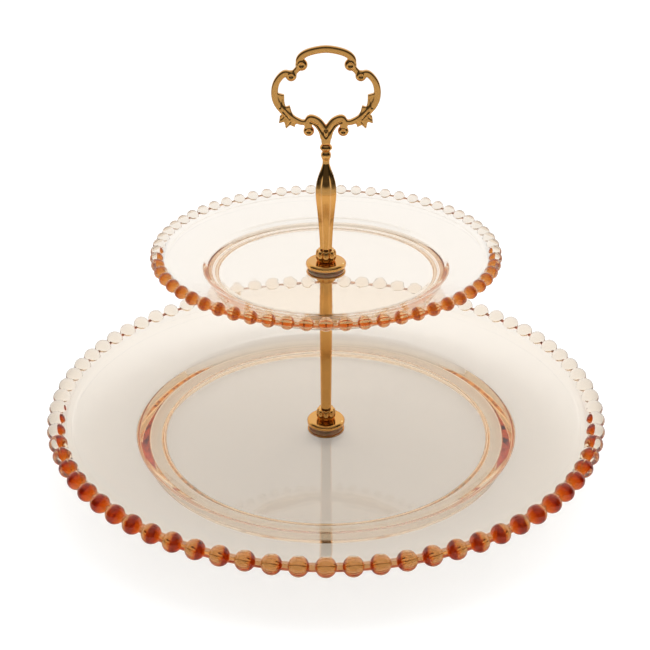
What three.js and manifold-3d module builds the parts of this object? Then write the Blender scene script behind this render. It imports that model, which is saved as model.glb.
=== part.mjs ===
// Two-tier cake stand: two pressed glass plates with beaded rims, threaded one above the other on a
// slim cast brass column, with a scrolled carrying ring on top. Millimetres, +Z up. The origin is on
// the table, under the middle of the lower plate's foot ring. The carrying ring faces -Y and +Y.

import * as THREE from 'three';
import { mergeVertices } from 'three/addons/utils/BufferGeometryUtils.js';
import Module from 'manifold-3d';

const wasm = await Module();
wasm.setup();

// ---------------------------------------------------------------- driving dimensions

// Clearances between pieces that touch, slide or screw together.
const seatGap = 0.15;
const boreClearance = 0.3;

// Each rim's edge reaches from rimDrop below the beads' centres to rimLip above them.
const lowerPlate = {
  beadCircleRadius: 160,
  beadCount: 76,
  beadRadius: 5.3,
  rimDrop: 5,
  rimLip: 0.8,
  wallThickness: 4.4,
  wellRadius: 113,
  wellRise: 5.1,
  floorRadius: 98,
  floorThickness: 5,
  rimRise: 18.1,
  footOuterRadius: 111,
  footInnerRadius: 100,
  footHeight: 6.4,
};

const upperPlate = {
  beadCircleRadius: 95.3,
  beadCount: 62,
  beadRadius: 3.7,
  rimDrop: 3.5,
  rimLip: 0.6,
  wallThickness: 3.8,
  wellRadius: 68.3,
  wellRise: 3.7,
  floorRadius: 62.4,
  floorThickness: 4.2,
  rimRise: 11.2,
  footOuterRadius: 67.4,
  footInnerRadius: 63.6,
  footHeight: 2.6,
};

// Each plate's floor is ground flat round its hole, a hair below the rest, for the washer's seat.
const plateHoleRadius = 4.5;
const groundSeat = { radius: 12.5, depth: 0.1 };

// How far inside the bead circle the rim's edge lies, as a share of a bead's radius.
const beadRootShare = 0.72;

// M4 thread of the handle's stud and of the base screw.
const threadRadius = 2;
const threadLength = 10;

const flange = { radius: 11.5, thickness: 2.8, bevel: 1 };
const softWasher = { radius: 10.4, thickness: 0.8 };
const metalWasher = { radius: 11.2, thickness: 1 };
const screwHead = { radius: 3.8, height: 2.4, slotWidth: 1.1, slotDepth: 1.2 };

// The eight-lobed ferrules above each flange, and the shallow one under the upper plate.
const lobeCount = 8;
const lobeDepth = 0.07;
const hub = { radius: 5.9, height: 6.8, endRadius: 4.6 };
const collar = { radius: 5.6, height: 5.5, endRadius: 4.2 };

const column = { length: 81.8, footRadius: 3.2, shoulderRadius: 3.8, headRadius: 3.5 };
const columnShoulderShare = 0.84;
const spigotWall = 0.7;
const spigotRadius = threadRadius + boreClearance + spigotWall;

// The handle's fluted stem, measured up from its foot.
const stem = {
  footRadius: 3.6,
  bellyRadius: 6.2,
  bellyHeight: 34.5,
  waistRadius: 1.95,
  waistHeight: 50.2,
  beadRadius: 2.8,
  beadHeight: 55.7,
  collarRadius: 3.4,
  collarHeight: 59.4,
  length: 61.4,
};
const peg = { radius: 1.4, length: 5 };

// The carrying ring, measured up from the top of the stem and out from the axis.
const ring = {
  barRadius: 1.7,
  neckRadius: 3.1,
  neckHeight: 6.5,
  crownHeight: 51.6,
  halfWidth: 27.5,
  widestHeight: 28,
  upperEye: { x: 12.9, height: 43.4, radius: 3.2 },
  lowerEye: { x: 18.4, height: 37.5, radius: 2.8 },
  footScroll: { x: 9.3, height: 8, radius: 2.6 },
};

// ---------------------------------------------------------------- heights, from the table up

const lowerFloor = lowerPlate.footHeight + lowerPlate.floorThickness;
const lowerWasherBase = lowerFloor - groundSeat.depth + seatGap;
const lowerFlangeBase = lowerWasherBase + softWasher.thickness + seatGap;
const columnHubBase = lowerFlangeBase + flange.thickness + seatGap;
const columnBase = columnHubBase + hub.height + seatGap;
const columnTop = columnBase + column.length;
const collarTop = columnTop + seatGap + collar.height;
const upperMetalWasherBase = collarTop + seatGap;
const upperWasherBase = upperMetalWasherBase + metalWasher.thickness + seatGap;
const upperUnderside = upperWasherBase + softWasher.thickness + seatGap;
const upperFloor = upperUnderside + upperPlate.floorThickness;
const topWasherBase = upperFloor - groundSeat.depth + seatGap;
const upperFlangeBase = topWasherBase + softWasher.thickness + seatGap;
const handleHubBase = upperFlangeBase + flange.thickness + seatGap;
const stemBase = handleHubBase + hub.height + seatGap;
const ringBase = stemBase + stem.length + seatGap;

const underWasherBase = lowerPlate.footHeight - seatGap - softWasher.thickness;
const lowerMetalWasherBase = underWasherBase - seatGap - metalWasher.thickness;
const screwHeadBase = lowerMetalWasherBase - seatGap - screwHead.height;

// ---------------------------------------------------------------- finishes

const glass = { color: 0xe9cdb2, roughness: 0.05, metalness: 0, transparent: true, opacity: 0.45 };
const brass = { color: 0xc8923a, roughness: 0.18, metalness: 1 };
const steel = { color: 0xb9b6ae, roughness: 0.35, metalness: 1 };
const softPlastic = { color: 0xe8e6e0, roughness: 0.5, metalness: 0 };

// ---------------------------------------------------------------- solids and joins

function toSolid(geometry) {
  const bare = geometry.clone();
  bare.deleteAttribute('normal');
  bare.deleteAttribute('uv');
  const merged = mergeVertices(bare, 1e-4);
  return new wasm.Manifold(new wasm.Mesh({
    numProp: 3,
    vertProperties: Float32Array.from(merged.attributes.position.array),
    triVerts: Uint32Array.from(merged.index.array),
  }));
}

function toGeometry(solid) {
  const { vertProperties, triVerts } = solid.getMesh();
  const geometry = new THREE.BufferGeometry();
  geometry.setAttribute('position', new THREE.BufferAttribute(vertProperties, 3));
  geometry.setIndex(new THREE.BufferAttribute(triVerts, 1));
  return geometry;
}

function joined(geometries) {
  const solids = geometries.map(toSolid);
  return toGeometry(solids.reduce((whole, next) => whole.add(next)));
}

function cutAway(geometry, tool) {
  return toGeometry(toSolid(geometry).subtract(toSolid(tool)));
}

// A turned shape about Z from [radius, height] pairs that run anticlockwise: out, up, in and down.
function turned(profile, segments) {
  const closed = [...profile, profile[0]];
  const points = closed.map(([radius, height]) => new THREE.Vector2(radius, height));
  return new THREE.LatheGeometry(points, segments).rotateX(Math.PI / 2);
}

// A turned shape whose every second edge stands out, which makes the lobes. Whatever lies at or
// inside the plain radius, such as a bore, stays round.
function lobed(profile, plainRadius) {
  const geometry = turned(profile, lobeCount * 2);
  const position = geometry.attributes.position;
  for (let i = 0; i < position.count; i += 1) {
    const x = position.getX(i);
    const y = position.getY(i);
    const inGroove = Math.cos(Math.atan2(y, x) * lobeCount) < 0;
    const outside = Math.hypot(x, y) > plainRadius * 1.01;
    const scale = inGroove && outside ? 1 - lobeDepth : 1;
    position.setXY(i, x * scale, y * scale);
  }
  return geometry;
}

function disc({ radius, thickness }, boreRadius, base) {
  const profile = [
    [boreRadius, base],
    [radius, base],
    [radius, base + thickness],
    [boreRadius, base + thickness],
  ];
  return turned(profile, 32);
}

// ---------------------------------------------------------------- glass plates

// The outline of half a plate, from the underside of its hole round the rim and back to the hole.
function plateProfile(plate, floorTop) {
  const underside = floorTop - plate.floorThickness;
  const foot = underside - plate.footHeight;
  const rimPlane = floorTop + plate.rimRise;
  const rimRadius = plate.beadCircleRadius - plate.beadRadius * beadRootShare;
  const path = new THREE.Path();
  path.moveTo(plateHoleRadius, underside);
  path.lineTo(plate.footInnerRadius - 1.5, underside);
  path.lineTo(plate.footInnerRadius, foot);
  path.lineTo(plate.footOuterRadius, foot);
  path.lineTo(plate.wellRadius + 1.5, floorTop + plate.wellRise - plate.wallThickness);
  path.lineTo(rimRadius, rimPlane - plate.rimDrop);
  path.lineTo(rimRadius, rimPlane + plate.rimLip);
  path.lineTo(plate.wellRadius, floorTop + plate.wellRise);
  const bendRadius = (plate.wellRadius + plate.floorRadius) / 2;
  path.quadraticCurveTo(bendRadius, floorTop, plate.floorRadius, floorTop);
  path.lineTo(groundSeat.radius, floorTop);
  path.lineTo(groundSeat.radius, floorTop - groundSeat.depth);
  path.lineTo(plateHoleRadius, floorTop - groundSeat.depth);
  return path.getPoints(3).map(({ x, y }) => [x, y]);
}

// The beads, starting with one at the very front.
function beadRing(plate, height) {
  return Array.from({ length: plate.beadCount }, (_, i) => {
    const angle = (2 * Math.PI * i) / plate.beadCount - Math.PI / 2;
    const bead = new THREE.OctahedronGeometry(plate.beadRadius, 1);
    bead.translate(plate.beadCircleRadius, 0, height);
    return bead.rotateZ(angle);
  });
}

function beadedPlate(plate, floorTop) {
  const dish = turned(plateProfile(plate, floorTop), plate.beadCount / 2);
  dish.rotateZ(Math.PI / plate.beadCount - Math.PI / 2);
  return joined([dish, ...beadRing(plate, floorTop + plate.rimRise)]);
}

// ---------------------------------------------------------------- column and its fittings

function bevelledFlange(base) {
  const bore = threadRadius + boreClearance;
  const top = base + flange.thickness;
  const profile = [
    [bore, base],
    [flange.radius, base],
    [flange.radius, top - flange.bevel],
    [flange.radius - flange.bevel, top],
    [bore, top],
  ];
  return turned(profile, 32);
}

// A sleeve that keeps a stud or screw in the middle of a plate's hole.
function centringSleeve(plate, underside) {
  const bore = threadRadius + boreClearance;
  const outside = plateHoleRadius - boreClearance;
  const top = underside + plate.floorThickness - groundSeat.depth;
  return turned([[bore, underside], [outside, underside], [outside, top], [bore, top]], 20);
}

// A barrel-shaped ferrule with lobes, open through its middle.
function lobedFerrule({ radius, height, endRadius }, boreRadius, base) {
  const shoulder = height * 0.28;
  const profile = [
    [boreRadius, base],
    [endRadius, base],
    [radius, base + shoulder],
    [radius, base + height - shoulder],
    [endRadius, base + height],
    [boreRadius, base + height],
  ];
  return lobed(profile, boreRadius);
}

// The column tapers, with a tapped spigot at each end that stands inside its ferrule.
function columnShape() {
  const bore = threadRadius + boreClearance;
  const spigotFoot = columnHubBase + seatGap;
  const spigotHead = collarTop - seatGap;
  const shoulder = columnBase + column.length * columnShoulderShare;
  const profile = [
    [0, spigotFoot + threadLength],
    [bore, spigotFoot + threadLength],
    [bore, spigotFoot],
    [spigotRadius, spigotFoot],
    [spigotRadius, columnBase],
    [column.footRadius, columnBase],
    [column.shoulderRadius, shoulder],
    [column.headRadius, columnTop],
    [spigotRadius, columnTop],
    [spigotRadius, spigotHead],
    [bore, spigotHead],
    [bore, spigotHead - threadLength],
    [0, spigotHead - threadLength],
  ];
  return turned(profile, 24);
}

// A slotted cheese-head screw from under the lower plate up into the column.
function baseScrewShape() {
  const headTop = screwHeadBase + screwHead.height;
  const tip = columnHubBase + threadLength - 2 * seatGap;
  const profile = [
    [0, screwHeadBase],
    [screwHead.radius, screwHeadBase],
    [screwHead.radius, headTop],
    [threadRadius, headTop],
    [threadRadius, tip],
    [0, tip],
  ];
  const slot = new THREE.BoxGeometry(screwHead.radius * 3, screwHead.slotWidth, screwHead.slotDepth * 2);
  slot.translate(0, 0, screwHeadBase);
  return cutAway(turned(profile, 20), slot);
}

// ---------------------------------------------------------------- handle

// The stud joins the stem to the column through the upper plate.
function handleStudShape() {
  const tip = collarTop - threadLength + seatGap;
  const top = stemBase + threadLength - seatGap;
  return turned([[0, tip], [threadRadius, tip], [threadRadius, top], [0, top]], 20);
}

// The baluster stem: lobed from its foot to its waist, with two turned beads above.
function stemShape() {
  const bore = threadRadius + boreClearance;
  const socket = peg.radius + boreClearance;
  const up = (height) => stemBase + height;
  const profile = [
    [0, up(threadLength)],
    [bore, up(threadLength)],
    [bore, stemBase],
    [stem.footRadius, stemBase],
    [stem.footRadius + 0.4, up(stem.bellyHeight * 0.25)],
    [stem.bellyRadius - 0.7, up(stem.bellyHeight * 0.75)],
    [stem.bellyRadius, up(stem.bellyHeight)],
    [stem.bellyRadius * 0.66, up(stem.waistHeight - 6.5)],
    [stem.waistRadius, up(stem.waistHeight)],
    [stem.waistRadius, up(stem.waistHeight + 2)],
    [stem.beadRadius, up(stem.beadHeight - 0.8)],
    [stem.beadRadius, up(stem.beadHeight + 0.8)],
    [stem.beadRadius - 0.6, up((stem.beadHeight + stem.collarHeight) / 2)],
    [stem.collarRadius, up(stem.collarHeight - 0.8)],
    [stem.collarRadius, up(stem.collarHeight + 0.8)],
    [stem.collarRadius - 0.8, up(stem.length)],
    [socket, up(stem.length)],
    [socket, up(stem.length - peg.length)],
    [0, up(stem.length - peg.length)],
  ];
  return lobed(profile, stem.collarRadius);
}

// A round bar along a smooth curve through [x, height] points in the plane of the ring.
function bar(points, radius, steps) {
  const curve = new THREE.CatmullRomCurve3(points.map(([x, z]) => new THREE.Vector3(x, 0, ringBase + z)));
  const section = new THREE.Shape().absarc(0, 0, radius, 0, 2 * Math.PI);
  return new THREE.ExtrudeGeometry(section, { steps, curveSegments: 6, extrudePath: curve });
}

// A scroll's eye: a short round boss that stands out a little in front of and behind the bar.
function eye({ x, height, radius }) {
  const boss = new THREE.CylinderGeometry(radius, radius, ring.barRadius * 2.3, 10);
  return boss.translate(x, 0, ringBase + height);
}

// A pointed leaf from one [x, height] point to another, flatter than it is wide.
function leaf([x0, z0], [x1, z1], width) {
  const along = new THREE.Vector3(x1 - x0, 0, z1 - z0);
  const cone = new THREE.ConeGeometry(width / 2, along.length(), 5).translate(0, along.length() / 2, 0);
  cone.scale(1, 1, (ring.barRadius * 1.6) / width);
  cone.applyQuaternion(new THREE.Quaternion().setFromUnitVectors(
    new THREE.Vector3(0, 1, 0),
    along.normalize(),
  ));
  return cone.translate(x0, 0, ringBase + z0);
}

// One half of the ring, on the side where side is +1 or -1.
function ringHalf(side) {
  const { upperEye, lowerEye, footScroll, barRadius, halfWidth, widestHeight } = ring;
  const flip = (points) => points.map(([x, z]) => [x * side, z]);
  const place = (scroll) => ({ ...scroll, x: scroll.x * side });
  const sideArc = [
    [lowerEye.x, lowerEye.height + 1],
    [halfWidth - 5.5, lowerEye.height + 1.2],
    [halfWidth - 1.2, widestHeight + 6],
    [halfWidth, widestHeight],
    [halfWidth - 2, widestHeight - 6],
    [halfWidth - 7.5, widestHeight - 12],
    [halfWidth - 14, widestHeight - 15.5],
    [footScroll.x, footScroll.height + 5],
  ];
  const footArm = [
    [footScroll.x, footScroll.height],
    [footScroll.x - 0.6, footScroll.height + 6.2],
    [footScroll.x / 2, footScroll.height + 4.8],
    [1.7, ring.neckHeight + 0.8],
    [0.8, ring.neckHeight - 3],
  ];
  const link = [[upperEye.x, upperEye.height], [lowerEye.x, lowerEye.height]];
  const leaves = [
    [[halfWidth - 1.5, widestHeight - 5], [halfWidth - 4.5, widestHeight + 0.6], 4.5],
    [[halfWidth - 5.5, widestHeight - 10.5], [halfWidth - 7.4, widestHeight - 4.8], 4.5],
    [[halfWidth - 4.5, widestHeight - 10.5], [halfWidth - 2.6, widestHeight - 14.2], 4],
    [[halfWidth - 9.5, widestHeight - 13], [halfWidth - 5.8, widestHeight - 17.4], 4],
  ];
  return [
    bar(flip(sideArc), barRadius, 12),
    bar(flip(footArm), barRadius * 1.2, 7),
    bar(flip(link), barRadius * 0.9, 1),
    eye(place(upperEye)),
    eye(place(lowerEye)),
    eye(place(footScroll)),
    ...leaves.map(([from, to, width]) => leaf(...flip([from, to]), width)),
  ];
}

function ringShape() {
  const { upperEye, crownHeight, barRadius, neckRadius, neckHeight } = ring;
  const crown = [
    [-upperEye.x, upperEye.height],
    [-upperEye.x - 1.6, upperEye.height + 2.4],
    [-upperEye.x * 0.6, crownHeight - 1.2],
    [0, crownHeight],
    [upperEye.x * 0.6, crownHeight - 1.2],
    [upperEye.x + 1.6, upperEye.height + 2.4],
    [upperEye.x, upperEye.height],
  ];
  const pegFoot = ringBase - peg.length + seatGap;
  const neck = turned([
    [0, pegFoot],
    [peg.radius, pegFoot],
    [peg.radius, ringBase],
    [neckRadius - 0.6, ringBase],
    [neckRadius, ringBase + neckHeight],
    [neckRadius * 0.5, ringBase + neckHeight + 2],
    [0, ringBase + neckHeight + 2],
  ], 16);
  return joined([neck, bar(crown, barRadius, 14), ...ringHalf(1), ...ringHalf(-1)]);
}

// ---------------------------------------------------------------- assembly

const stand = new THREE.Group();

function add(name, geometry, finish) {
  const mesh = new THREE.Mesh(geometry, new THREE.MeshStandardMaterial(finish));
  mesh.name = name;
  stand.add(mesh);
}

const studBore = threadRadius + boreClearance;
const spigotBore = spigotRadius + boreClearance;

add('base_screw', baseScrewShape(), steel);
add('lower_metal_washer', disc(metalWasher, studBore, lowerMetalWasherBase), brass);
add('lower_under_washer', disc(softWasher, studBore, underWasherBase), softPlastic);
add('lower_sleeve', centringSleeve(lowerPlate, lowerPlate.footHeight), softPlastic);
add('lower_plate', beadedPlate(lowerPlate, lowerFloor), glass);
add('lower_top_washer', disc(softWasher, studBore, lowerWasherBase), softPlastic);
add('lower_flange', bevelledFlange(lowerFlangeBase), brass);

add('column_hub', lobedFerrule(hub, spigotBore, columnHubBase), brass);
add('column', columnShape(), brass);
add('column_collar', lobedFerrule(collar, spigotBore, columnTop + seatGap), brass);

add('upper_metal_washer', disc(metalWasher, studBore, upperMetalWasherBase), brass);
add('upper_under_washer', disc(softWasher, studBore, upperWasherBase), softPlastic);
add('upper_sleeve', centringSleeve(upperPlate, upperUnderside), softPlastic);
add('upper_plate', beadedPlate(upperPlate, upperFloor), glass);
add('upper_top_washer', disc(softWasher, studBore, topWasherBase), softPlastic);
add('upper_flange', bevelledFlange(upperFlangeBase), brass);

add('handle_stud', handleStudShape(), steel);
add('handle_hub', lobedFerrule(hub, studBore, handleHubBase), brass);
add('handle_stem', stemShape(), brass);
add('handle_ring', ringShape(), brass);

export default stand;
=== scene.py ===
"""Tiered cake stand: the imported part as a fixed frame, with its finished looks built around it."""

import math

import bmesh
import bpy
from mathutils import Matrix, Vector


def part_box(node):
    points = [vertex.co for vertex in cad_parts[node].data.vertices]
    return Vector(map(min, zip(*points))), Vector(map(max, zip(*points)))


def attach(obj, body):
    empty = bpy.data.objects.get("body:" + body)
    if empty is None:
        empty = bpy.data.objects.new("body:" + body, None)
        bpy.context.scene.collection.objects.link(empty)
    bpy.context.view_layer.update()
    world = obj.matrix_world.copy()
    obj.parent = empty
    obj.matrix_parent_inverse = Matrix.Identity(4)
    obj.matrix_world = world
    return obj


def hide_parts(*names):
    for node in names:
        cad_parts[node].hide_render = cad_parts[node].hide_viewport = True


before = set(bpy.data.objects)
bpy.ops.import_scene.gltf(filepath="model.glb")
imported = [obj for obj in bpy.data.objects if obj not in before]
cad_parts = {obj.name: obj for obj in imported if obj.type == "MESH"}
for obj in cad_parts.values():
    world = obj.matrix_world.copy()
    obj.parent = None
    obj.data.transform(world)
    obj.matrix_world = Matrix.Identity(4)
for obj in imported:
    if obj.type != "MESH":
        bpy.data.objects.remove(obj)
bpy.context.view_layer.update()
mm = 0.001


# ---------------------------------------------------------------- base screw
# A slotted cheese-head steel screw, turned and thread-rolled, M4 with a 0.7 mm pitch. It comes up
# from under the lower plate and pulls the column down onto the glass.

screw_foot, screw_tip = (corner.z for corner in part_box("base_screw"))
SCREW_HEAD = {"radius": 3.8 * mm, "height": 2.4 * mm, "slot_width": 1.1 * mm, "slot_depth": 1.2 * mm}
THREAD = {"radius": 2 * mm, "depth": 0.3 * mm, "pitch": 0.7 * mm, "rows_per_pitch": 6}
THREAD_END = {"radius": THREAD["radius"] * 0.75, "chamfer": 0.4 * mm}


def rounded_outline(corners, steps=4):
    """The corners (radius, height, size of the corner's rounding) as a list of (radius, height)."""
    outline = []
    count = len(corners)
    for i, (radius, height, rounding) in enumerate(corners):
        corner = Vector((radius, height))
        if rounding == 0:
            outline.append(corner)
            continue
        before = Vector(corners[i - 1][:2]) - corner
        after = Vector(corners[(i + 1) % count][:2]) - corner
        start = corner + before.normalized() * min(rounding, before.length / 2)
        end = corner + after.normalized() * min(rounding, after.length / 2)
        for step in range(steps + 1):
            t = step / steps
            outline.append(start * (1 - t) ** 2 + corner * 2 * t * (1 - t) + end * t**2)
    return [(max(point.x, 0.0), point.y) for point in outline]


def turned_mesh(outline, sides=96, reach=None, turn=0.0):
    """A closed bmesh turned about Z. The outline runs out, up and in; reach(radius, angle, height)
    may give each point another radius, for lobes and threads."""
    mesh = bmesh.new()
    rings = []
    for radius, height in outline:
        if radius < 1e-7:
            rings.append([mesh.verts.new((0, 0, height))])
            continue
        ring = []
        for i in range(sides):
            angle = 2 * math.pi * i / sides + turn
            r = reach(radius, angle, height) if reach else radius
            ring.append(mesh.verts.new((r * math.cos(angle), r * math.sin(angle), height)))
        rings.append(ring)
    pairs = list(zip(rings, rings[1:]))
    if len(rings[0]) > 1:
        pairs.append((rings[-1], rings[0]))
    for lower, upper in pairs:
        for i in range(sides):
            j = (i + 1) % sides
            if len(lower) == 1:
                corners = [lower[0], upper[j], upper[i]]
            elif len(upper) == 1:
                corners = [lower[i], lower[j], upper[0]]
            else:
                corners = [lower[i], lower[j], upper[j], upper[i]]
            mesh.faces.new(corners)
    return mesh


def finished_piece(name, mesh, body, node, finish, crease=35):
    """Makes the bmesh an object that stands for a CAD node, with its body and material."""
    bmesh.ops.recalc_face_normals(mesh, faces=mesh.faces)
    data = bpy.data.meshes.new(name)
    mesh.to_mesh(data)
    mesh.free()
    data.materials.append(finish)
    piece = bpy.data.objects.new(name, data)
    bpy.context.scene.collection.objects.link(piece)
    data.polygons.foreach_set("use_smooth", [True] * len(data.polygons))
    data.set_sharp_from_angle(angle=math.radians(crease))
    evened = piece.modifiers.new("even shading", "WEIGHTED_NORMAL")
    evened.keep_sharp = True
    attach(piece, body)
    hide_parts(node)
    return piece


def threaded(radius, angle, height):
    """The thread: the radius dips once per pitch, and the dip climbs as the angle goes round."""
    if radius > THREAD["radius"] * 1.01:
        return radius
    phase = (height / THREAD["pitch"] - angle / (2 * math.pi)) % 1
    return radius - THREAD["depth"] * abs(2 * phase - 1)


def thread_outline(foot, tip):
    """A rod's side from foot to tip, cut finely enough to carry the thread."""
    steps = round((tip - foot) / THREAD["pitch"] * THREAD["rows_per_pitch"])
    return [(THREAD["radius"], foot + (tip - foot) * i / steps) for i in range(1, steps)]


def wear_group():
    """Roughness that wanders with handling, and how rubbed each spot is, from 0 to 1."""
    group = bpy.data.node_groups.new("handling wear", "ShaderNodeTree")
    face = group.interface
    face.new_socket("Scale", in_out="INPUT", socket_type="NodeSocketFloat").default_value = 60
    face.new_socket("Polished", in_out="INPUT", socket_type="NodeSocketFloat").default_value = 0.1
    face.new_socket("Dulled", in_out="INPUT", socket_type="NodeSocketFloat").default_value = 0.3
    face.new_socket("Roughness", in_out="OUTPUT", socket_type="NodeSocketFloat")
    face.new_socket("Rubbed", in_out="OUTPUT", socket_type="NodeSocketFloat")
    nodes, links = group.nodes, group.links
    given, result = nodes.new("NodeGroupInput"), nodes.new("NodeGroupOutput")
    place = nodes.new("ShaderNodeTexCoord")
    cloud = nodes.new("ShaderNodeTexNoise")
    cloud.inputs["Detail"].default_value = 5
    cloud.inputs["Roughness"].default_value = 0.62
    links.new(place.outputs["Object"], cloud.inputs["Vector"])
    links.new(given.outputs["Scale"], cloud.inputs["Scale"])
    patches = nodes.new("ShaderNodeMapRange")
    patches.inputs["From Min"].default_value = 0.38
    patches.inputs["From Max"].default_value = 0.68
    links.new(cloud.outputs["Fac"], patches.inputs["Value"])
    blend = nodes.new("ShaderNodeMix")
    links.new(patches.outputs["Result"], blend.inputs["Factor"])
    links.new(given.outputs["Polished"], blend.inputs["A"])
    links.new(given.outputs["Dulled"], blend.inputs["B"])
    links.new(blend.outputs["Result"], result.inputs["Roughness"])
    links.new(patches.outputs["Result"], result.inputs["Rubbed"])
    return group


def scratch_group():
    """Fine wiping scratches as a height, in two crossing directions."""
    group = bpy.data.node_groups.new("wiping scratches", "ShaderNodeTree")
    face = group.interface
    face.new_socket("Scale", in_out="INPUT", socket_type="NodeSocketFloat").default_value = 400
    face.new_socket("Height", in_out="OUTPUT", socket_type="NodeSocketFloat")
    nodes, links = group.nodes, group.links
    given, result = nodes.new("NodeGroupInput"), nodes.new("NodeGroupOutput")
    place = nodes.new("ShaderNodeTexCoord")
    total = None
    for tilt, stretch in ((0.5, (1, 9, 9)), (-0.9, (9, 1, 7))):
        lay = nodes.new("ShaderNodeMapping")
        lay.inputs["Rotation"].default_value = (tilt, 0.4, tilt)
        lay.inputs["Scale"].default_value = stretch
        links.new(place.outputs["Object"], lay.inputs["Vector"])
        grain = nodes.new("ShaderNodeTexNoise")
        grain.inputs["Detail"].default_value = 3
        links.new(lay.outputs["Vector"], grain.inputs["Vector"])
        links.new(given.outputs["Scale"], grain.inputs["Scale"])
        if total is None:
            total = grain.outputs["Fac"]
            continue
        both = nodes.new("ShaderNodeMath")
        both.operation = "ADD"
        links.new(total, both.inputs[0])
        links.new(grain.outputs["Fac"], both.inputs[1])
        total = both.outputs[0]
    links.new(total, result.inputs["Height"])
    return group


# Pointiness ranges: the edge colour is partly edge wear and partly a painted highlight, and the hollow
# colour is painted shade.
EDGE_WEAR_AND_HIGHLIGHT, PAINTED_SHADE_IN_HOLLOWS = (0.53, 0.62), (0.47, 0.36)


def edge_group():
    """A colour that turns to a second one on convex edges, partly wear and partly a painted highlight, and
    to a third in hollows, which is painted shade.
    """
    group = bpy.data.node_groups.new("edge wear and painted highlight, painted shade in hollows", "ShaderNodeTree")
    face = group.interface
    for name in ("Face", "Edge", "Hollow"):
        face.new_socket(name, in_out="INPUT", socket_type="NodeSocketColor")
    face.new_socket("Color", in_out="OUTPUT", socket_type="NodeSocketColor")
    nodes, links = group.nodes, group.links
    given, result = nodes.new("NodeGroupInput"), nodes.new("NodeGroupOutput")
    shape = nodes.new("ShaderNodeNewGeometry")
    colour = given.outputs["Face"]
    for name, (low, high) in (("Edge", EDGE_WEAR_AND_HIGHLIGHT), ("Hollow", PAINTED_SHADE_IN_HOLLOWS)):
        mask = nodes.new("ShaderNodeMapRange")
        mask.interpolation_type = "SMOOTHSTEP"
        mask.inputs["From Min"].default_value = low
        mask.inputs["From Max"].default_value = high
        links.new(shape.outputs["Pointiness"], mask.inputs["Value"])
        blend = nodes.new("ShaderNodeMix")
        blend.data_type = "RGBA"
        links.new(mask.outputs["Result"], blend.inputs["Factor"])
        links.new(colour, blend.inputs[6])
        links.new(given.outputs[name], blend.inputs[7])
        colour = blend.outputs[2]
    links.new(colour, result.inputs["Color"])
    return group


handling_wear, wiping_scratches, edge_wear_highlight_and_shade = wear_group(), scratch_group(), edge_group()


def add_group(tree, group, **values):
    """Places a node group in a material with its own values."""
    node = tree.nodes.new("ShaderNodeGroup")
    node.node_tree = group
    for name, value in values.items():
        node.inputs[name].default_value = value
    return node


def metal(name, face, edge, hollow, polished, dulled, wear_scale, scratch_scale, scratch_depth):
    """A bare or plated metal with lighter edges, partly wear and partly a painted highlight, painted shade
    in hollows, handling marks and fine scratches.
    """
    finish = bpy.data.materials.new(name)
    finish.use_nodes = True
    tree = finish.node_tree
    shader = tree.nodes["Principled BSDF"]
    shader.inputs["Metallic"].default_value = 1
    colour = add_group(tree, edge_wear_highlight_and_shade, Face=(*face, 1), Edge=(*edge, 1), Hollow=(*hollow, 1))
    wear = add_group(tree, handling_wear, Scale=wear_scale, Polished=polished, Dulled=dulled)
    scratches = add_group(tree, wiping_scratches, Scale=scratch_scale)
    bump = tree.nodes.new("ShaderNodeBump")
    bump.inputs["Strength"].default_value = scratch_depth
    bump.inputs["Distance"].default_value = 0.02 * mm
    tree.links.new(colour.outputs["Color"], shader.inputs["Base Color"])
    tree.links.new(wear.outputs["Roughness"], shader.inputs["Roughness"])
    tree.links.new(scratches.outputs["Height"], bump.inputs["Height"])
    tree.links.new(bump.outputs["Normal"], shader.inputs["Normal"])
    return finish


# The edge colour is partly edge wear and partly a painted highlight. The hollow colour is painted shade.
bright_steel = metal(
    "bright steel", face=(0.56, 0.55, 0.52), edge=(0.7, 0.69, 0.66), hollow=(0.3, 0.29, 0.27),
    polished=0.2, dulled=0.38, wear_scale=300, scratch_scale=900, scratch_depth=0.3)


def combined(base, tool, operation):
    """The union or difference of two closed bmeshes, as one new bmesh. It uses both of them up."""
    blanks = []
    for mesh in (base, tool):
        bmesh.ops.recalc_face_normals(mesh, faces=mesh.faces)
        data = bpy.data.meshes.new("blank")
        mesh.to_mesh(data)
        mesh.free()
        blank = bpy.data.objects.new("blank", data)
        bpy.context.scene.collection.objects.link(blank)
        blanks.append(blank)
    cut = blanks[0].modifiers.new("cut", "BOOLEAN")
    cut.operation, cut.object, cut.solver = operation, blanks[1], "MANIFOLD"
    shaped = blanks[0].evaluated_get(bpy.context.evaluated_depsgraph_get())
    result = bmesh.new()
    result.from_mesh(shaped.to_mesh())
    for blank in blanks:
        bpy.data.objects.remove(blank)
    return result


screw_head_top = screw_foot + SCREW_HEAD["height"]
screw = turned_mesh(
    rounded_outline([
        (0, screw_foot, 0),
        (SCREW_HEAD["radius"], screw_foot, 0.5 * mm),
        (SCREW_HEAD["radius"], screw_head_top, 0.2 * mm),
        (THREAD["radius"], screw_head_top, 0),
    ])
    + thread_outline(screw_head_top, screw_tip - THREAD_END["chamfer"])
    + [(THREAD_END["radius"], screw_tip), (0, screw_tip)],
    sides=48, reach=threaded)
slot_cutter = bmesh.new()
bmesh.ops.create_cube(slot_cutter, size=1)
slot_size = (SCREW_HEAD["radius"] * 3, SCREW_HEAD["slot_width"], SCREW_HEAD["slot_depth"] * 2)
bmesh.ops.scale(slot_cutter, vec=slot_size, verts=slot_cutter.verts)
bmesh.ops.translate(slot_cutter, vec=(0, 0, screw_foot), verts=slot_cutter.verts)
finished_piece(
    "slotted_base_screw", combined(screw, slot_cutter, "DIFFERENCE"), "base", "base_screw",
    bright_steel, 50)


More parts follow.
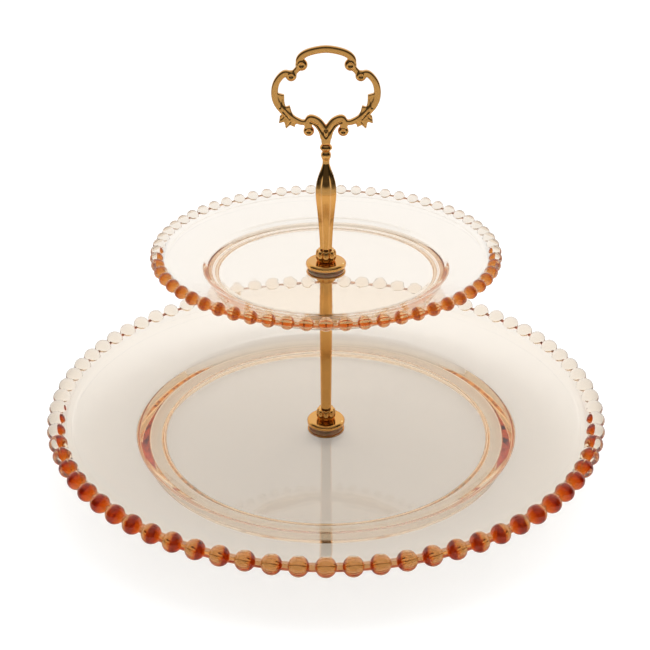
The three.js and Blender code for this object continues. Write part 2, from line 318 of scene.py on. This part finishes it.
# ---------------------------------------------------------------- washers and sleeves
# Punched washers with rolled edges, brass plated, spread the load under each plate. Milky soft plastic
# washers and sleeves keep metal off the glass. They are loose pieces in the stack.

# The edge colour is partly edge wear and partly a painted highlight. The near-black hollow colour is painted
# shade.
plated_brass = metal(
    "plated brass", face=(0.77, 0.40, 0.115), edge=(0.95, 0.72, 0.36), hollow=(0.2, 0.08, 0.02),
    polished=0.07, dulled=0.2, wear_scale=120, scratch_scale=700, scratch_depth=0.12)


def milky_plastic():
    """Soft translucent plastic, faintly yellowed in patches, with a fine moulded grain."""
    finish = bpy.data.materials.new("milky soft plastic")
    finish.use_nodes = True
    tree = finish.node_tree
    shader = tree.nodes["Principled BSDF"]
    shader.inputs["Subsurface Weight"].default_value = 0.3
    shader.inputs["Subsurface Scale"].default_value = 1 * mm
    wear = add_group(tree, handling_wear, Scale=250, Polished=0.38, Dulled=0.6)
    tint = tree.nodes.new("ShaderNodeMix")
    tint.data_type = "RGBA"
    tint.inputs[6].default_value = (0.86, 0.66, 0.52, 1)
    tint.inputs[7].default_value = (0.72, 0.50, 0.36, 1)
    scratches = add_group(tree, wiping_scratches, Scale=1500)
    bump = tree.nodes.new("ShaderNodeBump")
    bump.inputs["Strength"].default_value = 0.4
    bump.inputs["Distance"].default_value = 0.03 * mm
    tree.links.new(wear.outputs["Rubbed"], tint.inputs["Factor"])
    tree.links.new(tint.outputs[2], shader.inputs["Base Color"])
    tree.links.new(wear.outputs["Roughness"], shader.inputs["Roughness"])
    tree.links.new(scratches.outputs["Height"], bump.inputs["Height"])
    tree.links.new(bump.outputs["Normal"], shader.inputs["Normal"])
    return finish


soft_plastic = milky_plastic()


STUD_BORE = 2.3 * mm
ROLLED_EDGE, MOULDED_EDGE = 0.35 * mm, 0.3 * mm


def washer(name, node, body, rounding, finish):
    """A flat ring with rounded edges that fills a CAD washer's or sleeve's box."""
    lowest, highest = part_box(node)
    outline = rounded_outline([
        (STUD_BORE, lowest.z, rounding / 2),
        (highest.x, lowest.z, rounding),
        (highest.x, highest.z, rounding),
        (STUD_BORE, highest.z, rounding / 2),
    ])
    return finished_piece(name, turned_mesh(outline), body, node, finish)


for tier, body, metal_body in (("lower", "base", "base"), ("upper", "upper_tier", "column_lift")):
    washer(f"{tier}_brass_washer", f"{tier}_metal_washer", metal_body, ROLLED_EDGE, plated_brass)
    for name, node in (
        (f"{tier}_under_soft_washer", f"{tier}_under_washer"),
        (f"{tier}_top_soft_washer", f"{tier}_top_washer"),
        (f"{tier}_centring_sleeve", f"{tier}_sleeve"),
    ):
        washer(name, node, body, MOULDED_EDGE, soft_plastic)


# ---------------------------------------------------------------- glass plates
# Pressed soda glass, tinted a pale amber through its depth and fire-polished. Each plate has a foot
# ring, a flat floor with a drilled hole, a short well wall, a wide sloping rim and a ring of beads.

# Millimetres: radii from the axis, and heights above the surface that each one starts from.
LOWER_PLATE = {
    "beads": 76, "bead_circle": 160, "bead": 5.3,
    "foot_outer": 111, "foot_inner": 100, "foot": 6.4,
    "floor": 98, "floor_thickness": 5, "well": 113, "well_rise": 5.1, "wall": 4.4,
    "rim_rise": 18.1, "rim_low": 6.5, "rim_high": 0.8, "rim_skirt": 5,
}
UPPER_PLATE = {
    "beads": 62, "bead_circle": 95.3, "bead": 3.7,
    "foot_outer": 67.4, "foot_inner": 63.6, "foot": 2.6,
    "floor": 62.4, "floor_thickness": 4.2, "well": 68.3, "well_rise": 3.7, "wall": 3.8,
    "rim_rise": 11.2, "rim_low": 4.5, "rim_high": 0.6, "rim_skirt": 4,
}
HOLE_RADIUS = 4.5
GROUND_SEAT = {"radius": 12.5, "depth": 0.1}
WALL_DRAFT = 1.5
RIM_STEP = {"beads_in": 1.7, "height": 0.5, "width": 0.5}
SIDES_PER_BEAD = 4


def amber_glass():
    """Glass with a trace of tint on its skin. The rest of its colour is the depth that light crosses."""
    finish = bpy.data.materials.new("pale amber pressed glass")
    finish.use_nodes = True
    tree = finish.node_tree
    shader = tree.nodes["Principled BSDF"]
    shader.inputs["Base Color"].default_value = (0.985, 0.968, 0.952, 1)
    shader.inputs["Transmission Weight"].default_value = 1
    shader.inputs["IOR"].default_value = 1.52  # soda glass
    wear = add_group(tree, handling_wear, Scale=25, Polished=0.0, Dulled=0.035)
    ripple = tree.nodes.new("ShaderNodeTexNoise")
    ripple.inputs["Scale"].default_value = 45
    ripple.inputs["Detail"].default_value = 2
    place = tree.nodes.new("ShaderNodeTexCoord")
    bump = tree.nodes.new("ShaderNodeBump")
    bump.inputs["Strength"].default_value = 0.15
    bump.inputs["Distance"].default_value = 0.5 * mm
    depth = tree.nodes.new("ShaderNodeVolumeAbsorption")
    depth.inputs["Color"].default_value = (0.93, 0.61, 0.12, 1)
    depth.inputs["Density"].default_value = 29
    tree.links.new(place.outputs["Object"], ripple.inputs["Vector"])
    tree.links.new(ripple.outputs["Fac"], bump.inputs["Height"])
    tree.links.new(wear.outputs["Roughness"], shader.inputs["Roughness"])
    tree.links.new(bump.outputs["Normal"], shader.inputs["Normal"])
    tree.links.new(depth.outputs["Volume"], tree.nodes["Material Output"].inputs["Volume"])
    return finish


glass = amber_glass()


def dish_outline(plate, foot):
    """Half of a plate's section in metres, from the hole's foot round the rim and back. The rim slab
    reaches the middles of the beads, and a small step in its top runs just inside them."""
    underside = foot + plate["foot"]
    floor = underside + plate["floor_thickness"]
    rim = floor + plate["rim_rise"]
    edge = plate["bead_circle"]
    well, rise = plate["well"], plate["well_rise"]
    well_foot = well * 0.35 + plate["floor"] * 0.65
    step = edge - plate["bead"] * RIM_STEP["beads_in"]
    slope = (plate["rim_rise"] + plate["rim_high"] - rise) / (edge - well)
    step_foot = floor + rise + slope * (step - well) - RIM_STEP["height"] / 2
    corners = [
        (HOLE_RADIUS, underside, 0.5),
        (plate["foot_inner"] - WALL_DRAFT, underside, 2),
        (plate["foot_inner"], foot, 1),
        (plate["foot_outer"], foot, 1),
        (well + WALL_DRAFT, floor + rise - plate["wall"], 2),
        (edge - plate["rim_skirt"], rim - plate["rim_low"], 1.5),
        (edge, rim - plate["rim_low"] / 2, 0.8),
        (edge, rim + plate["rim_high"], 0.4),
        (step, step_foot + RIM_STEP["height"], 0.2),
        (step - RIM_STEP["width"], step_foot, 0.2),
        (well, floor + rise, 1.2),
        (well_foot, floor, 4),
        (GROUND_SEAT["radius"], floor, 0),
        (GROUND_SEAT["radius"], floor - GROUND_SEAT["depth"], 0),
        (HOLE_RADIUS, floor - GROUND_SEAT["depth"], 0.5),
    ]
    return [(radius * mm, height * mm) for radius, height in rounded_outline(corners, steps=6)]


def beaded_plate(name, plate, node, body):
    """The turned dish with its beads fused on, the first one at the very front."""
    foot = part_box(node)[0].z / mm
    front = -math.pi / 2
    dish = turned_mesh(dish_outline(plate, foot), sides=plate["beads"] * SIDES_PER_BEAD, turn=front)
    rim = (foot + plate["foot"] + plate["floor_thickness"] + plate["rim_rise"]) * mm
    reach = plate["bead_circle"] * mm
    beads = bmesh.new()
    for i in range(plate["beads"]):
        angle = 2 * math.pi * i / plate["beads"] + front
        spot = (reach * math.cos(angle), reach * math.sin(angle), rim)
        bead = bmesh.ops.create_icosphere(beads, subdivisions=3, radius=plate["bead"] * mm)["verts"]
        bmesh.ops.translate(beads, vec=spot, verts=bead)
    return finished_piece(name, combined(dish, beads, "UNION"), body, node, glass, 30)


beaded_plate("lower_beaded_plate", LOWER_PLATE, "lower_plate", "base")
beaded_plate("upper_beaded_plate", UPPER_PLATE, "upper_plate", "upper_tier")


# ---------------------------------------------------------------- flanges
# Cast brass discs with a bevelled top edge, polished and plated. Each clamps a plate's floor from
# above, through its soft washer.

FLANGE_BEVEL = 1 * mm


def flange(name, node, body):
    """A disc that fills a CAD flange's box, bored for the stud."""
    lowest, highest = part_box(node)
    radius = highest.x
    outline = rounded_outline([
        (STUD_BORE, lowest.z, 0.2 * mm),
        (radius, lowest.z, 0.3 * mm),
        (radius, highest.z - FLANGE_BEVEL, 0.5 * mm),
        (radius - FLANGE_BEVEL, highest.z, 0.5 * mm),
        (STUD_BORE, highest.z, 0.2 * mm),
    ])
    return finished_piece(name, turned_mesh(outline, 128), body, node, plated_brass)


flange("lower_bevelled_flange", "lower_flange", "base")
flange("upper_bevelled_flange", "upper_flange", "upper_tier")


# ---------------------------------------------------------------- lobed ferrules
# Barrel-shaped brass castings with eight rounded lobes, like small pumpkins. One stands on each
# flange, and a shallower one closes the column's head under the upper plate.

LOBES = 8
SIDES_PER_LOBE = 16
LOBE_GROOVE = 0.2
BARREL_ROWS = 16
BARREL_FULLNESS = 0.4
SPIGOT_BORE = 3.3 * mm


def ferrule(name, node, body, bore, end_radius):
    """A barrel that fills a CAD ferrule's box. Its lobes have narrow grooves between them, which
    fade at both ends, and its bore and end faces stay round."""
    lowest, highest = (corner.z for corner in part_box(node))
    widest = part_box(node)[1].x
    height = highest - lowest
    face_radius = end_radius * 0.9
    outline = [(bore, lowest), (face_radius, lowest)]
    for i in range(BARREL_ROWS + 1):
        t = i / BARREL_ROWS
        bulge = math.sin(math.pi * t) ** BARREL_FULLNESS
        outline.append((end_radius + (widest - end_radius) * bulge, lowest + height * t))
    outline += [(face_radius, highest), (bore, highest)]

    def lobed(radius, angle, z):
        if radius <= face_radius:
            return radius
        across = abs(math.cos(angle * LOBES / 2))
        rise = (z - lowest) / height
        fade = max(0.0, min(1.0, 6 * min(rise, 1 - rise) + 0.25))
        return radius * (1 - LOBE_GROOVE * fade * (1 - across) ** 1.5)

    mesh = turned_mesh(outline, LOBES * SIDES_PER_LOBE, lobed)
    return finished_piece(name, mesh, body, node, plated_brass, 60)


ferrule("column_foot_ferrule", "column_hub", "column", SPIGOT_BORE, 4.6 * mm)
ferrule("column_head_ferrule", "column_collar", "column", SPIGOT_BORE, 4.2 * mm)
ferrule("handle_ferrule", "handle_hub", "handle", STUD_BORE, 4.6 * mm)


# ---------------------------------------------------------------- column
# A slim turned brass column, a little fuller towards its top, with a tapped spigot at each end
# inside the ferrules. Plated and polished like the rest.

SEAT_GAP = 0.15 * mm
SPIGOT = 3 * mm
TAP_DEPTH = 10 * mm
SHAFT = {"foot": 3.2 * mm, "fullest": 3.8 * mm, "fullest_at": 0.84, "head": 3.5 * mm}
column_foot, column_head = (corner.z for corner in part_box("column"))
shaft_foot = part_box("column_hub")[1].z + SEAT_GAP
shaft_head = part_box("column_collar")[0].z - SEAT_GAP
shoulder = shaft_foot + (shaft_head - shaft_foot) * SHAFT["fullest_at"]
column_outline = rounded_outline([
    (0, column_foot + TAP_DEPTH, 0),
    (STUD_BORE, column_foot + TAP_DEPTH, 0),
    (STUD_BORE, column_foot, 0.2 * mm),
    (SPIGOT, column_foot, 0.2 * mm),
    (SPIGOT, shaft_foot, 0),
    (SHAFT["foot"], shaft_foot, 0.15 * mm),
    (SHAFT["fullest"], shoulder, 12 * mm),
    (SHAFT["head"], shaft_head, 0.15 * mm),
    (SPIGOT, shaft_head, 0),
    (SPIGOT, column_head, 0.2 * mm),
    (STUD_BORE, column_head, 0.2 * mm),
    (STUD_BORE, column_head - TAP_DEPTH, 0),
    (0, column_head - TAP_DEPTH, 0),
], steps=8)
finished_piece("turned_column", turned_mesh(column_outline, 64), "column", "column", plated_brass)


# ---------------------------------------------------------------- handle stud
# A length of M4 steel studding with chamfered ends. It is fixed in the stem and runs down through the
# upper plate into the column's head.

stud_foot, stud_top = (corner.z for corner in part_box("handle_stud"))
stud_outline = (
    [(0, stud_foot), (THREAD_END["radius"], stud_foot)]
    + thread_outline(stud_foot + THREAD_END["chamfer"], stud_top - THREAD_END["chamfer"])
    + [(THREAD_END["radius"], stud_top), (0, stud_top)]
)
finished_piece(
    "threaded_handle_stud", turned_mesh(stud_outline, 32, threaded), "handle_lift", "handle_stud",
    bright_steel, 50)


# ---------------------------------------------------------------- fluted stem
# The handle's baluster, cast in brass and plated: eight hollow flutes with sharp ridges between them
# swell from the foot to a belly and run up to a thin waist. Two small turned beads finish it.

stem_foot, stem_top = (corner.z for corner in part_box("handle_stem"))
BALUSTER = [
    (3.6, 0), (3.75, 3), (4.0, 8.6), (4.6, 17), (5.45, 25.5), (6.0, 30.5), (6.2, 34.5), (5.75, 39),
    (4.5, 43.7), (3.0, 47.6), (2.1, 50.2),
]
TURNED_BEADS = [
    (1.95, 51.2), (2.0, 52.6), (2.55, 54.2), (2.8, 55.7), (2.5, 56.9),
    (2.1, 57.6), (2.6, 58.3), (3.4, 59.4), (3.2, 60.5), (2.6, 61.4),
]
FLUTES = {"depth": 0.15, "top": 50, "fade": 9, "hollow": 2.5}
PEG_SOCKET = {"radius": 1.7 * mm, "depth": 5 * mm}


def smooth_line(points, steps):
    """A Catmull-Rom curve through the points, ends included."""
    points = [Vector(point) for point in points]
    padded = [points[0] * 2 - points[1], *points, points[-1] * 2 - points[-2]]
    line = []
    for a, b, c, d in zip(padded, padded[1:], padded[2:], padded[3:]):
        for i in range(steps):
            t = i / steps
            line.append((b * 2 + (c - a) * t + (a * 2 - b * 5 + c * 4 - d) * t**2
                         + (b * 3 - a - c * 3 + d) * t**3) / 2)
    return [*line, points[-1]]


def fluted(radius, angle, height):
    """Flutes in proportion to the radius, which fade out at the waist. The tapped bore stays round."""
    z = (height - stem_foot) / mm
    in_bore = radius <= STUD_BORE and height < stem_foot + TAP_DEPTH * 1.5
    if in_bore or z > FLUTES["top"]:
        return radius
    depth = FLUTES["depth"] * min(1.0, (FLUTES["top"] - z) / FLUTES["fade"])
    across = (angle * LOBES / (2 * math.pi) + 0.5) % 1 * 2 - 1
    return radius * (1 - depth * (1 - abs(across) ** FLUTES["hollow"]))


stem_outline = (
    [(0, stem_foot + TAP_DEPTH), (STUD_BORE, stem_foot + TAP_DEPTH), (STUD_BORE, stem_foot)]
    + [(point.x * mm, stem_foot + point.y * mm) for point in smooth_line(BALUSTER + TURNED_BEADS, 5)]
    + [(PEG_SOCKET["radius"], stem_top), (PEG_SOCKET["radius"], stem_top - PEG_SOCKET["depth"]),
       (0, stem_top - PEG_SOCKET["depth"])]
)
finished_piece(
    "fluted_handle_stem", turned_mesh(stem_outline, LOBES * SIDES_PER_LOBE, fluted), "handle", "handle_stem",
    plated_brass, 50)


# ---------------------------------------------------------------- carrying ring
# A scrolled ring cast in brass in one piece with its peg, then plated: two side arcs and a crown
# that curl into round eyes, pointed leaves low on both sides, and a veed neck between two scrolls.

# The lists below are in millimetres: across from the axis, and up from the ring's base.
ring_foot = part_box("handle_ring")[0].z
ring_base = stem_top + SEAT_GAP
BAR_SIDES = 20
BAR_SQUARENESS = 0.45
CROWN = {
    "path": [(-11.6, 42.2), (-14.2, 45.0), (-12.4, 48.2), (-7.74, 50.4), (0, 51.6), (7.74, 50.4),
             (12.4, 48.2), (14.2, 45.0), (11.6, 42.2)],
    "widths": [1.5, 1.9, 1.9, 1.9, 1.9, 1.5], "depths": [1.7, 1.7],
}
SIDE_ARC = {
    "path": [(17.6, 38.2), (22, 38.7), (26.1, 34.2), (27.3, 28), (25.5, 22), (20, 16), (13.5, 12.5),
             (9.3, 13)],
    "widths": [1.4, 1.8, 1.8, 1.9, 2.0, 1.9, 1.5, 1.2], "depths": [1.7, 1.7],
}
SHOULDER_LINK = {"path": [(12.9, 43.4), (18.4, 37.5)], "widths": [1.5, 1.5], "depths": [1.3, 1.3]}
FOOT_SCROLL = {
    "path": [(9.3, 8), (9.6, 11.5), (8.4, 14.2), (4.65, 12.4), (1.9, 8.6), (1.2, 3.5)],
    "widths": [1.8, 2.2, 2.3, 2.7, 2.6, 1.8], "depths": [1.9, 1.9, 1.8, 1.9, 2.2, 2.2],
}
LEAVES = [
    ([(26.2, 28.4), (22.2, 27.4), (22.2, 24), (21.4, 19.5), (24.4, 19)], 1.3),
    ([(22.9, 20.4), (19.3, 21.6), (18.5, 18.4), (16.6, 14.6), (20, 14)], 1.4),
    ([(24.8, 16), (25.3, 11.9), (22.4, 12.8), (19.5, 14), (22, 17)], 1.3),
    ([(22.6, 13.8), (21.6, 8.8), (19.3, 11), (16.8, 9.8), (16, 12.8), (18, 14)], 1.4),
]
EYES = [
    {"across": 12.9, "up": 43.4, "radius": 3.3, "depth": 2.1},
    {"across": 18.4, "up": 37.5, "radius": 3.0, "depth": 2.0},
    {"across": 9.3, "up": 7.6, "radius": 3.0, "depth": 2.2},
]
EYE_PIT = {"depth": 0.8, "share": 0.5, "rim": 0.4}
GROOVES = [  # from, to, half width, depth
    ((0, 4.6), (4.4, 11), 1.1, 0.6), ((4.4, 11), (8.2, 12.8), 0.8, 0.4),
    ((22.8, 18.6), (19.4, 14.4), 0.9, 0.45), ((23.4, 25.6), (24.6, 20.6), 0.8, 0.3),
    ((18.8, 13.4), (21, 10.4), 0.6, 0.25), ((24.2, 14.2), (22, 16.2), 0.6, 0.25),
]
ENGRAVED_FROM, THINNEST_HALF = 0.5, 0.4
FUSING_VOXEL = 0.3 * mm


def squared(wave):
    """Pushes a sine or cosine outwards, for a bar's section between round and square."""
    return math.copysign(abs(wave) ** BAR_SQUARENESS, wave)


def leaf(mesh, outline, depth):
    """Adds a flat leaf with its outline in the ring's plane. depth is its half thickness."""
    near, far = ([mesh.verts.new((x * mm, y * mm, ring_base + z * mm)) for x, z in outline]
                 for y in (-depth, depth))
    for i in range(len(outline)):
        j = (i + 1) % len(outline)
        mesh.faces.new((near[i], near[j], far[j], far[i]))
    mesh.faces.new(list(reversed(near)))
    mesh.faces.new(far)


def along(sizes, t):
    """The size at a share t of the way through a list of sizes, evenly spaced."""
    spot = t * (len(sizes) - 1)
    i = min(int(spot), len(sizes) - 2)
    return sizes[i] + (sizes[i + 1] - sizes[i]) * (spot - i)


def swept_bar(mesh, path, widths, depths, side=1):
    """Adds a bar along path, in the ring's plane. widths and depths are its half sizes in that plane
    and across it, from one end to the other. side -1 puts it on the other side."""
    line = smooth_line([(x * side, z) for x, z in path], 8)
    last = len(line) - 1
    rings = []
    for i, point in enumerate(line):
        ahead = (line[min(i + 1, last)] - line[max(i - 1, 0)]).normalized()
        sideways = Vector((-ahead.y, ahead.x))
        width, depth = along(widths, i / last), along(depths, i / last)
        ring = []
        for k in range(BAR_SIDES):
            turn = 2 * math.pi * k / BAR_SIDES
            spot = point + sideways * width * squared(math.cos(turn))
            ring.append(mesh.verts.new(
                (spot.x * mm, depth * squared(math.sin(turn)) * mm, ring_base + spot.y * mm)))
        rings.append(ring)
    for near, far in zip(rings, rings[1:]):
        for k in range(BAR_SIDES):
            j = (k + 1) % BAR_SIDES
            mesh.faces.new((near[k], near[j], far[j], far[k]))
    mesh.faces.new(list(reversed(rings[0])))
    mesh.faces.new(rings[-1])


def merge(mesh, part):
    """Adds one bmesh to another, and frees it."""
    data = bpy.data.meshes.new("part")
    part.to_mesh(data)
    part.free()
    mesh.from_mesh(data)
    bpy.data.meshes.remove(data)


def boss(mesh, across, up, radius, depth):
    """Adds a scroll's eye: a short round boss with a domed face to the front and to the back."""
    angles = [-math.pi / 2 + math.pi * i / 12 for i in range(13)]
    outline = [(radius * abs(math.cos(angle)) ** 0.75, depth * math.sin(angle)) for angle in angles]
    dome = turned_mesh(outline, 32)
    for vert in dome.verts:
        x, y, z = vert.co
        vert.co = ((across + x) * mm, z * mm, ring_base + (up + y) * mm)
    merge(mesh, dome)


def neck_and_peg():
    """The round neck under the vee, with the peg that is soldered into the stem."""
    foot, base = ring_foot, ring_base
    return turned_mesh([
        (0, foot), (1.3 * mm, foot), (1.4 * mm, foot + 0.2 * mm), (1.4 * mm, base), (2.3 * mm, base),
        (2.5 * mm, base + 0.8 * mm), (2.75 * mm, base + 3 * mm), (3.1 * mm, base + 6 * mm),
        (2.6 * mm, base + 8 * mm), (0, base + 8.6 * mm),
    ], 48)


def ring_casting():
    """All of the ring's bars, eyes and leaves as one overlapping mesh, ready to be fused."""
    mesh = bmesh.new()
    swept_bar(mesh, **CROWN)
    for side in (-1, 1):
        for bar in (SIDE_ARC, SHOULDER_LINK, FOOT_SCROLL):
            swept_bar(mesh, **bar, side=side)
        for outline, depth in LEAVES:
            leaf(mesh, [(x * side, z) for x, z in outline], depth)
        for eye in EYES:
            boss(mesh, eye["across"] * side, eye["up"], eye["radius"], eye["depth"])
    merge(mesh, neck_and_peg())
    return mesh


def engraving(x, z):
    """How deep the casting is engraved at a spot of its face, in millimetres. Both sides are alike."""
    deepest = 0.0
    x = abs(x)
    for (x0, z0), (x1, z1), half_width, depth in GROOVES:
        line = Vector((x1 - x0, z1 - z0))
        spot = Vector((x - x0, z - z0))
        t = max(0.0, min(1.0, spot.dot(line) / line.length_squared))
        away = (spot - line * t).length / half_width
        if away < 1:
            deepest = max(deepest, depth * (1 - away * away) ** 2)
    for eye in EYES:
        pit = (eye["radius"] - EYE_PIT["rim"]) * EYE_PIT["share"]
        away = math.hypot(x - eye["across"], z - eye["up"]) / pit
        deepest = max(deepest, EYE_PIT["depth"] * (1 - away * away))
    return deepest


ring_piece = finished_piece(
    "scrolled_carrying_ring", ring_casting(), "handle", "handle_ring", plated_brass, 180)
ring_piece.modifiers.clear()
fuse = ring_piece.modifiers.new("fuse", "REMESH")
fuse.mode, fuse.voxel_size = "VOXEL", FUSING_VOXEL
soften = ring_piece.modifiers.new("soften", "SMOOTH")
soften.factor, soften.iterations = 0.5, 6
fused = bpy.data.meshes.new_from_object(ring_piece.evaluated_get(bpy.context.evaluated_depsgraph_get()))
ring_piece.modifiers.clear()
ring_piece.data = fused
for vert in fused.vertices:
    x, y, z = vert.co.x / mm, vert.co.y / mm, (vert.co.z - ring_base) / mm
    if abs(y) > ENGRAVED_FROM:
        vert.co.y -= math.copysign(min(engraving(x, z), abs(y) - THINNEST_HALF), y) * mm
fused.polygons.foreach_set("use_smooth", [True] * len(fused.polygons))


# ---------------------------------------------------------------- floor, light and camera
# A plain white table under soft white light from all round, glowing a little itself. What the polished
# surfaces mirror is a dim room in front and at the sides, and a white wall behind. The camera looks
# down on the stand from the front.

TABLE = {"radius": 0.75, "below": 0.2 * mm, "seen_glow": 0.58, "glow_through_glass": 0.36}

bpy.ops.mesh.primitive_circle_add(
    vertices=96, radius=TABLE["radius"], fill_type="NGON", location=(0, 0, -TABLE["below"]))
floor = bpy.context.active_object
floor.name = "white_table"
paper = bpy.data.materials.new("matt white table")
paper.use_nodes = True
paper_tree = paper.node_tree
paper_shader = paper_tree.nodes["Principled BSDF"]
paper_shader.inputs["Base Color"].default_value = (0.5, 0.5, 0.5, 1)
paper_shader.inputs["Roughness"].default_value = 0.6
paper_shader.inputs["Specular IOR Level"].default_value = 0.2
paper_shader.inputs["Emission Color"].default_value = (1, 1, 1, 1)
paper_rays = paper_tree.nodes.new("ShaderNodeLightPath")
through_glass = paper_tree.nodes.new("ShaderNodeMath")
through_glass.operation = "MULTIPLY"
through_glass.inputs[1].default_value = TABLE["glow_through_glass"]
glow = paper_tree.nodes.new("ShaderNodeMix")
glow.inputs["B"].default_value = TABLE["seen_glow"]
paper_tree.links.new(paper_rays.outputs["Is Transmission Ray"], through_glass.inputs[0])
paper_tree.links.new(through_glass.outputs[0], glow.inputs["A"])
paper_tree.links.new(paper_rays.outputs["Is Camera Ray"], glow.inputs["Factor"])
paper_tree.links.new(glow.outputs["Result"], paper_shader.inputs["Emission Strength"])
floor.data.materials.append(paper)

studio = bpy.data.worlds.new("white studio")
studio.use_nodes = True
studio.cycles.sampling_method = "NONE"
bpy.context.scene.world = studio
sky = studio.node_tree
sky_direction = sky.nodes.new("ShaderNodeTexCoord").outputs["Generated"]
sky_axes = sky.nodes.new("ShaderNodeSeparateXYZ")
sky.links.new(sky_direction, sky_axes.inputs["Vector"])
sky_rays = sky.nodes.new("ShaderNodeLightPath")


def ramp(value, start, end, low, high):
    """A smooth change from low to high as the value goes from start to end."""
    node = sky.nodes.new("ShaderNodeMapRange")
    node.interpolation_type = "SMOOTHSTEP"
    for name, setting in (("From Min", start), ("From Max", end), ("To Min", low), ("To Max", high)):
        node.inputs[name].default_value = setting
    sky.links.new(value, node.inputs["Value"])
    return node.outputs["Result"]


def product(first, second):
    """Two strengths multiplied."""
    node = sky.nodes.new("ShaderNodeMath")
    node.operation = "MULTIPLY"
    sky.links.new(first, node.inputs[0])
    sky.links.new(second, node.inputs[1])
    return node.outputs[0]


def chosen(factor, without, with_it):
    """One of two strengths, or a blend of them. Each is a socket or a number."""
    node = sky.nodes.new("ShaderNodeMix")
    sky.links.new(factor, node.inputs["Factor"])
    for name, given in (("A", without), ("B", with_it)):
        if isinstance(given, float):
            node.inputs[name].default_value = given
        else:
            sky.links.new(given, node.inputs[name])
    return node.outputs["Result"]


# What lights the table: brighter to the right and overhead, with a shaded patch high in front.
SHADED_PATCH = {"towards": (0, -0.75, 0.66), "strength": 0.12}
patch_side = sky.nodes.new("ShaderNodeVectorMath")
patch_side.operation = "DOT_PRODUCT"
patch_side.inputs[1].default_value = Vector(SHADED_PATCH["towards"]).normalized()
sky.links.new(sky_direction, patch_side.inputs[0])
in_patch = ramp(patch_side.outputs["Value"], 0.40, 0.82, 0.0, 1.0)
to_the_right = ramp(sky_axes.outputs["X"], -0.9, 0.9, 1.0, 1.45)
towards_overhead = ramp(sky_axes.outputs["Z"], 0.35, 0.9, 1.0, 2.4)
spread = chosen(in_patch, product(to_the_right, towards_overhead), SHADED_PATCH["strength"])

# What metal and glass mirror: the room is dark above the horizon and darker still at the sides.
CEILING_STRENGTH, BACK_WALL_STRENGTH, BACKDROP_STRENGTH = 0.4, 0.95, 1.1
side_on = sky.nodes.new("ShaderNodeMath")
side_on.operation = "ABSOLUTE"
sky.links.new(sky_axes.outputs["X"], side_on.inputs[0])
above_horizon = ramp(sky_axes.outputs["Z"], -0.2, -0.02, 0.64, 0.07)
at_the_sides = ramp(side_on.outputs[0], 0.55, 0.9, 1.0, 0.35)
overhead = ramp(sky_axes.outputs["Z"], 0.55, 0.9, 0.0, 1.0)
behind = ramp(sky_axes.outputs["Y"], 0.0, 0.4, 0.0, 1.0)
room = chosen(overhead, product(above_horizon, at_the_sides), CEILING_STRENGTH)
mirrored = chosen(behind, room, BACK_WALL_STRENGTH)

strength = chosen(sky_rays.outputs["Diffuse Depth"], mirrored, spread)
strength = chosen(sky_rays.outputs["Is Camera Ray"], strength, BACKDROP_STRENGTH)
sky.nodes["Background"].inputs["Color"].default_value = (1, 1, 1, 1)
sky.links.new(strength, sky.nodes["Background"].inputs["Strength"])

LOOKS_DOWN = math.radians(26.90)
LIGHT_BOUNCES = 32
camera_data = bpy.data.cameras.new("camera")
camera_data.lens = 62.58
camera_data.sensor_width = 36
camera_data.shift_x = -1 / 650
camera_data.clip_start = 0.01
camera = bpy.data.objects.new("camera", camera_data)
camera.location = (0, -0.5912, 0.3786)
camera.rotation_euler = (math.pi / 2 - LOOKS_DOWN, 0, 0)
scene = bpy.context.scene
scene.collection.objects.link(camera)
scene.camera = camera
scene.view_settings.view_transform = "Standard"
scene.cycles.max_bounces = LIGHT_BOUNCES
scene.cycles.glossy_bounces = LIGHT_BOUNCES
scene.cycles.transmission_bounces = LIGHT_BOUNCES
